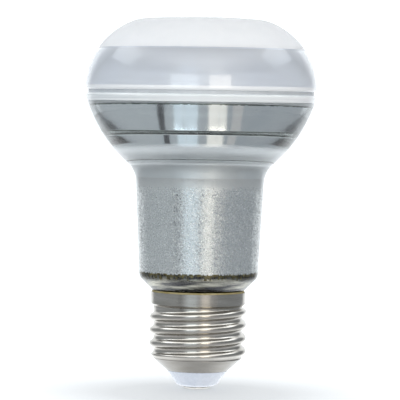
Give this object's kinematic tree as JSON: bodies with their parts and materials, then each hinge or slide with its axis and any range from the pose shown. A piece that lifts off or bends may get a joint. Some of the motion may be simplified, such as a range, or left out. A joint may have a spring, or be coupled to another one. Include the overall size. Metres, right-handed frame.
{
  "type": "reflector bulb",
  "caption": "Mushroom-shaped reflector lamp with a mirrored glass bowl, frosted front lens with a clear side band, frosted silver neck and an E27 screw cap.",
  "frame": {"origin": "Centre of the flat face of the end contact, on the lamp's axis.", "axes": "+Z runs along the lamp's axis from the contact to the lens, and +X and +Y lie square to it, with the driver board in the XZ plane."},
  "size_m": [0.063, 0.063, 0.1009],
  "materials": {
    "lens_plastic": "clear and glossy at the side, frosted at the front",
    "seal_silicone": "satin",
    "mirrored_glass": "mirrored inside, smooth bowl, frosted neck",
    "shell_plate": "polished nickel plate",
    "insulator_plastic": "smooth",
    "contact_plate": "plated",
    "cement": "matte",
    "cone_mirror": "metallised",
    "spreader_aluminium": "satin",
    "board_white": "matte",
    "led_phosphor": "satin",
    "housing_plastic": "matte",
    "board_green": "satin",
    "can_sleeve": "glossy",
    "film_box": "glossy",
    "ferrite": "matte",
    "copper_wire": "enamelled",
    "package_black": "matte",
    "resistor_body": "satin",
    "lead_brown": "satin",
    "lead_blue": "satin",
    "lead_red": "satin",
    "lead_black": "satin"
  },
  "bodies": {
    "root": {"front_lens": "lens_plastic", "lens_seal": "seal_silicone", "glass_reflector": "mirrored_glass", "screw_shell": "shell_plate", "cap_insulator": "insulator_plastic", "centre_contact": "contact_plate", "cap_cement": "cement", "reflector_ring": "cone_mirror", "heat_spreader": "spreader_aluminium", "led_board": "board_white", "led_1": "led_phosphor", "led_2": "led_phosphor", "led_3": "led_phosphor", "led_4": "led_phosphor", "led_5": "led_phosphor", "led_6": "led_phosphor", "led_7": "led_phosphor", "led_8": "led_phosphor", "driver_housing": "housing_plastic", "driver_board": "board_green", "bulk_capacitor": "can_sleeve", "film_capacitor": "film_box", "inductor_core": "ferrite", "inductor_winding": "copper_wire", "bridge_rectifier": "package_black", "driver_chip": "package_black", "fuse_resistor": "resistor_body", "live_lead": "lead_brown", "neutral_lead": "lead_blue", "led_lead_positive": "lead_red", "led_lead_negative": "lead_black"}
  },
  "joints": []
}
